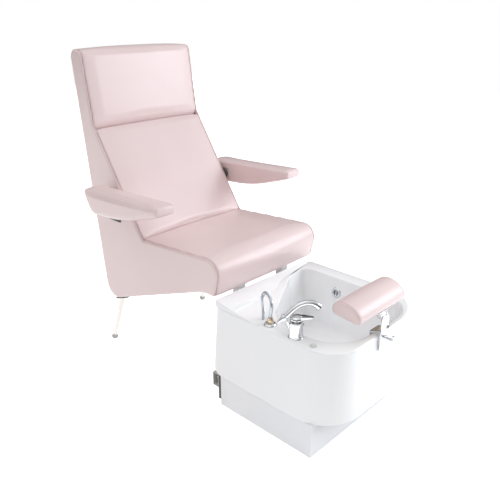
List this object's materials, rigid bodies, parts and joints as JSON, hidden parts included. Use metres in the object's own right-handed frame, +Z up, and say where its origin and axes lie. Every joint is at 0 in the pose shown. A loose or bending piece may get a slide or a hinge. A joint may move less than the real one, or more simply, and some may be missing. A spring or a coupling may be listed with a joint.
{
  "type": "pedicure spa chair",
  "caption": "Upholstered reclined salon chair with lift-up armrests, joined to a foot basin on a plinth with mixer tap, hand shower and clamp-on footrest.",
  "frame": {"origin": "on the floor under the middle of the whole object's box", "axes": "+Z up, -Y towards the basin end, +X to the sitting person's left when seen from the front"},
  "size_m": [0.77, 1.3744, 1.235],
  "materials": {
    "pink_vinyl": "soft satin, fine grain",
    "side_vinyl": "soft satin, fine grain",
    "plywood": "raw",
    "white_laminate": "gloss",
    "white_gelcoat": "high gloss",
    "grey_paint": "satin",
    "dark_paint": "satin",
    "black_rubber": "matte",
    "white_plastic": "smooth",
    "brass": "polished",
    "braided_steel": "braided",
    "hose_metal": "ribbed, polished",
    "dark_plastic": "matte",
    "index_colour": "gloss, half red and half blue",
    "zinc": "zinc plated",
    "chrome": "polished"
  },
  "bodies": {
    "base": {"seat_cushion": "pink_vinyl", "back_cushion": "pink_vinyl", "head_cushion": "pink_vinyl", "rear_cover": "side_vinyl", "side_cover_left": "side_vinyl", "side_cover_right": "side_vinyl", "side_board_left": "plywood", "side_board_right": "plywood", "seat_board": "plywood", "front_board": "plywood", "back_board": "plywood", "head_block": "plywood", "rear_board": "plywood", "bottom_board": "plywood", "arm_bracket_left": "dark_paint", "arm_bracket_right": "dark_paint", "arm_pivots": "chrome", "arm_spacers": "zinc", "bracket_screws": "chrome", "leg_plates": "dark_paint", "leg_left": "chrome", "leg_right": "chrome", "leg_feet": "black_rubber", "link_beam": "grey_paint", "link_uprights": "grey_paint", "link_plates": "dark_paint", "link_bolts": "chrome", "plinth": "white_laminate", "bearers": "plywood", "tub_shell": "white_gelcoat", "waste_strainer": "chrome", "waste_trap": "white_plastic", "overflow_ring": "chrome", "overflow_pipe": "white_plastic", "mixer_base": "chrome", "mixer_body": "chrome", "supply_pipes": "braided_steel", "mixer_index": "index_colour", "shower_holder": "chrome", "hose_flange": "chrome", "hose_nut": "brass", "shower_hose": "hose_metal", "button_housing": "white_plastic", "rim_clamp": "chrome"},
    "arm_left": {"arm_pad_left": "pink_vinyl", "arm_plate_left": "zinc"},
    "arm_right": {"arm_pad_right": "pink_vinyl", "arm_plate_right": "zinc"},
    "mixer_turn_body": {"mixer_hub": "chrome"},
    "lever": {"mixer_lever": "chrome"},
    "handset": {"hand_shower": "chrome", "spray_face": "dark_plastic"},
    "button": {"push_button": "white_plastic"},
    "post": {"rest_post": "chrome"},
    "footrest": {"rest_hinge": "chrome", "rest_board": "plywood", "footrest_pad": "pink_vinyl"},
    "foot_of_clamp": {"clamp_foot": "brass"},
    "turning_screw": {"clamp_screw": "chrome", "clamp_handle": "chrome"}
  },
  "joints": [
    {"name": "arm_left_lift", "type": "hinge", "parent": "base", "child": "arm_left", "pos_m": [-0.342, 0.46632, 0.69], "axis": [-1, 0, 0], "range_deg": [0, 80]},
    {"name": "arm_right_lift", "type": "hinge", "parent": "base", "child": "arm_right", "pos_m": [0.342, 0.46632, 0.69], "axis": [-1, 0, 0], "range_deg": [0, 80]},
    {"name": "mixer_turn", "type": "hinge", "parent": "base", "child": "mixer_turn_body", "pos_m": [-0.251, -0.45868, 0.47], "axis": [0, 0, 1], "range_deg": [-45, 45]},
    {"name": "lever_lift", "type": "hinge", "parent": "mixer_turn_body", "child": "lever", "pos_m": [-0.251, -0.45868, 0.476], "axis": [-0.7242, -0.6896, 0], "range_deg": [0, 18]},
    {"name": "handset_pull", "type": "slide", "parent": "base", "child": "handset", "axis": [0.6124, -0.4785, 0.6293], "range_m": [0, 0.06]},
    {"name": "button_press", "type": "slide", "parent": "base", "child": "button", "axis": [0, 0, -1], "range_m": [0, 0.003], "stiffness_N_per_m": 600, "springref_m": -0.001},
    {"name": "post_height", "type": "slide", "parent": "base", "child": "post", "axis": [0, 0, 1], "range_m": [-0.034, 0.024]},
    {"name": "footrest_tilt", "type": "hinge", "parent": "post", "child": "footrest", "pos_m": [-0.038, -0.63868, 0.473], "axis": [1, 0, 0], "range_deg": [-20, 20]},
    {"name": "clamp_travel", "type": "slide", "parent": "base", "child": "foot_of_clamp", "axis": [0, -1, 0], "range_m": [0, 0.003]},
    {"name": "clamp_turn", "type": "hinge", "parent": "foot_of_clamp", "child": "turning_screw", "pos_m": [-0.038, -0.68368, 0.397], "axis": [0, -1, 0], "range_deg": [0, 720]}
  ],
  "couplings": [
    {"joint": "clamp_turn", "follows": "clamp_travel", "rad_per_m": 4188.8}
  ]
}
